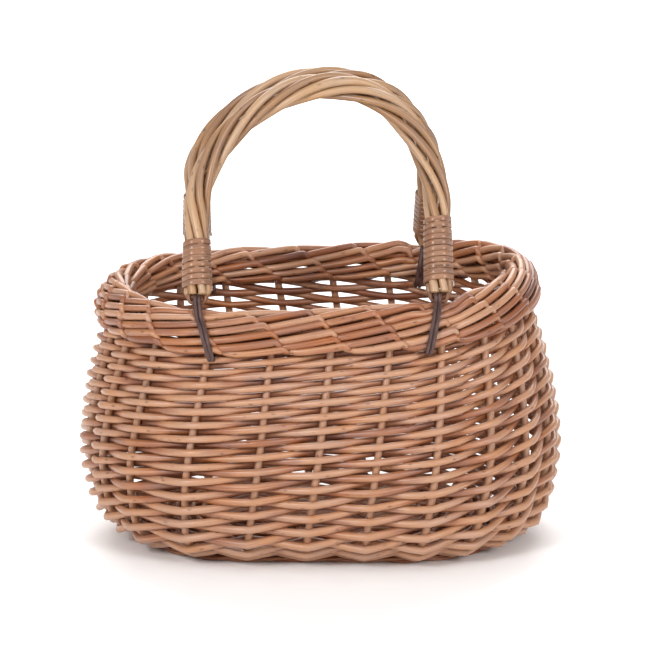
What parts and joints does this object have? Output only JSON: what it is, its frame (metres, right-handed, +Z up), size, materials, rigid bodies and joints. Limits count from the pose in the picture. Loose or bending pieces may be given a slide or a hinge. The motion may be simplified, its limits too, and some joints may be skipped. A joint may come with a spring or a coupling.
{
  "type": "wicker shopping basket",
  "caption": "Oval woven willow shopping basket, bulging wall, rolled border and paired swing handles hinged on leather thongs; carries shopping in its open hollow.",
  "frame": {"origin": "on the floor under the middle of the basket's bounding box", "axes": "+Z up, +X along the basket's longer side to its right end, -Y towards the front; the handles stand up leaning together over the middle"},
  "size_m": [0.3804, 0.2617, 0.3822],
  "materials": {
    "buff_willow": "buff willow rods, dry, satin bark-free skin with darker reddish streaks",
    "handle_willow": "lighter buff willow rods, smooth satin",
    "split_willow": "shaved split willow, flat and slightly glossy",
    "brown_leather": "dark brown leather thong, matte with worn edges"
  },
  "bodies": {
    "basket": {"stake_01": "buff_willow", "stake_02": "buff_willow", "stake_03": "buff_willow", "stake_04": "buff_willow", "stake_05": "buff_willow", "stake_06": "buff_willow", "stake_07": "buff_willow", "stake_08": "buff_willow", "stake_09": "buff_willow", "stake_10": "buff_willow", "stake_11": "buff_willow", "stake_12": "buff_willow", "stake_13": "buff_willow", "stake_14": "buff_willow", "stake_15": "buff_willow", "stake_16": "buff_willow", "stake_17": "buff_willow", "stake_18": "buff_willow", "stake_19": "buff_willow", "stake_20": "buff_willow", "stake_21": "buff_willow", "stake_22": "buff_willow", "stake_23": "buff_willow", "weaver_1": "buff_willow", "weaver_2": "buff_willow", "weaver_3": "buff_willow", "weaver_4": "buff_willow", "foot_rod": "buff_willow", "wale_rod": "buff_willow", "base_edge_weaver": "buff_willow", "base_cross_stick_1": "buff_willow", "base_cross_stick_2": "buff_willow", "base_cross_stick_3": "buff_willow", "base_cross_stick_4": "buff_willow", "base_long_stick_front": "buff_willow", "base_long_stick_back": "buff_willow", "base_weaver_a": "buff_willow", "base_weaver_b": "buff_willow", "border_outer_rod": "buff_willow", "border_inner_rod": "buff_willow", "front_left_thong": "brown_leather", "front_right_thong": "brown_leather", "back_left_thong": "brown_leather", "back_right_thong": "brown_leather"},
    "front_handle": {"front_handle_doubled_rod_left": "handle_willow", "front_handle_doubled_rod_right": "handle_willow", "front_handle_rod_1": "handle_willow", "front_handle_rod_2": "handle_willow", "front_left_whipping": "split_willow", "front_right_whipping": "split_willow"},
    "back_handle": {"back_handle_doubled_rod_left": "handle_willow", "back_handle_doubled_rod_right": "handle_willow", "back_handle_rod_1": "handle_willow", "back_handle_rod_2": "handle_willow", "back_left_whipping": "split_willow", "back_right_whipping": "split_willow"}
  },
  "joints": [
    {"name": "front_handle_swing", "type": "hinge", "parent": "basket", "child": "front_handle", "pos_m": [0, -0.09191, 0.21304], "axis": [1, 0, 0], "range_deg": [0, 80]},
    {"name": "back_handle_swing", "type": "hinge", "parent": "basket", "child": "back_handle", "pos_m": [0, 0.09191, 0.21696], "axis": [-1, 0, 0], "range_deg": [0, 80]}
  ]
}
